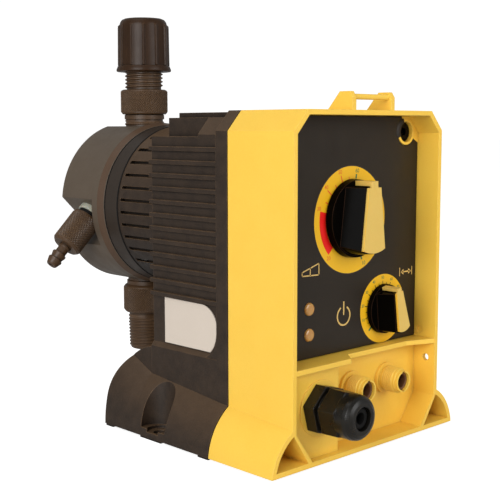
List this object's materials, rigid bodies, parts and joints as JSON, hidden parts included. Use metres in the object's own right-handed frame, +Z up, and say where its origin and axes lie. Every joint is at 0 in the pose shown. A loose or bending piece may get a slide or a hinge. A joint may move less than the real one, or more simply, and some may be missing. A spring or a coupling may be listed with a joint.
{
  "type": "diaphragm metering pump",
  "caption": "Motorless solenoid metering pump: moulded casing with dial panel, ribbed rear housing, round liquid end with suction, discharge and bleed valves.",
  "frame": {"origin": "midway between the two base bolt holes, on the plane the feet stand on", "axes": "-Y towards the control panel, +Y towards the pump head, +Z up, X across the pump"},
  "size_m": [0.1273, 0.2013, 0.2059],
  "materials": {
    "yellow_plastic": "satin moulded",
    "black_plastic": "satin moulded",
    "gloss_black": "gloss",
    "cream_plastic": "satin",
    "dark_liquid_end": "machined",
    "brown_fitting": "satin moulded",
    "white_plastic": "satin",
    "amber_lens": "clear gloss",
    "label_film": "satin film",
    "overlay_film": "textured film",
    "black_rubber": "matt",
    "ptfe": "satin",
    "steel": "turned",
    "ceramic": "polished",
    "copper_enamel": "enamelled wire",
    "board_green": "solder resist",
    "bronze": "sintered"
  },
  "bodies": {
    "pump": {"front_cover": "yellow_plastic", "cover_gasket": "black_rubber", "rear_housing": "black_plastic", "rating_plate": "label_film", "cover_screws": "steel", "control_panel": "black_plastic", "panel_overlay": "overlay_film", "indicator_lenses": "amber_lens", "stop_carrier": "white_plastic", "circuit_board": "board_green", "board_screws": "steel", "board_parts": "gloss_black", "rate_control": "bronze", "gland_body": "gloss_black", "gland_seal": "black_rubber", "gland_locknut": "gloss_black", "socket_pins": "bronze", "socket_inserts": "brown_fitting", "magnet_frame": "steel", "coil_bobbin": "white_plastic", "coil_winding": "copper_enamel", "guide_bush": "bronze", "return_spring": "steel", "spacer_ring": "dark_liquid_end", "diaphragm": "ptfe", "pump_head": "dark_liquid_end", "head_bolts": "steel", "discharge_body": "brown_fitting", "discharge_seat": "ptfe", "discharge_oring": "black_rubber", "tube_ferrule": "ptfe", "suction_body": "brown_fitting", "suction_seat": "ptfe", "suction_oring": "black_rubber", "bleed_collar": "white_plastic"},
    "stroke_dial": {"stroke_knob": "gloss_black", "stroke_pointer": "cream_plastic", "stroke_spindle": "steel"},
    "stroke_limit": {"stroke_stop": "steel"},
    "rate_dial": {"rate_knob": "gloss_black", "rate_pointer": "cream_plastic", "rate_shaft": "steel"},
    "drive": {"armature": "steel"},
    "discharge_check": {"discharge_ball": "ceramic"},
    "suction_check": {"suction_ball": "ceramic"},
    "tube_nut": {"discharge_cap": "brown_fitting"},
    "cable_nut": {"gland_nut": "gloss_black"},
    "bleed": {"bleed_valve": "brown_fitting", "bleed_barb": "brown_fitting"}
  },
  "joints": [
    {"name": "stroke_turn", "type": "hinge", "parent": "pump", "child": "stroke_dial", "pos_m": [0, -0.07, 0.1056], "axis": [0, -1, 0], "range_deg": [-150, 150]},
    {"name": "stroke_limit_slide", "type": "slide", "parent": "pump", "child": "stroke_limit", "axis": [0, 1, 0], "range_m": [-0.00056, 0.00056]},
    {"name": "rate_turn", "type": "hinge", "parent": "pump", "child": "rate_dial", "pos_m": [0.0231, -0.07, 0.0614], "axis": [0, -1, 0], "range_deg": [-163, 137]},
    {"name": "drive_stroke", "type": "slide", "parent": "pump", "child": "drive", "axis": [0, 1, 0], "range_m": [0, 0.0012], "stiffness_N_per_m": 800, "springref_m": -0.001, "deforming": ["return_spring", "diaphragm"]},
    {"name": "discharge_check_lift", "type": "slide", "parent": "pump", "child": "discharge_check", "axis": [0, 0, 1], "range_m": [0, 0.002]},
    {"name": "suction_check_lift", "type": "slide", "parent": "pump", "child": "suction_check", "axis": [0, 0, 1], "range_m": [0, 0.002]},
    {"name": "tube_nut_turn", "type": "hinge", "parent": "pump", "child": "tube_nut", "pos_m": [0, 0.083, 0.19], "axis": [0, 0, 1], "range_deg": [0, 360]},
    {"name": "cable_nut_turn", "type": "hinge", "parent": "pump", "child": "cable_nut", "pos_m": [-0.0298, -0.09, 0.0249], "axis": [0, -1, 0], "range_deg": [0, 360]},
    {"name": "bleed_turn", "type": "hinge", "parent": "pump", "child": "bleed", "pos_m": [-0.03606, 0.083, 0.10206], "axis": [-0.7071, 0, -0.7071], "range_deg": [0, 180]}
  ],
  "couplings": [
    {"joint": "stroke_limit_slide", "follows": "stroke_turn", "m_per_rad": 0.00019894}
  ]
}
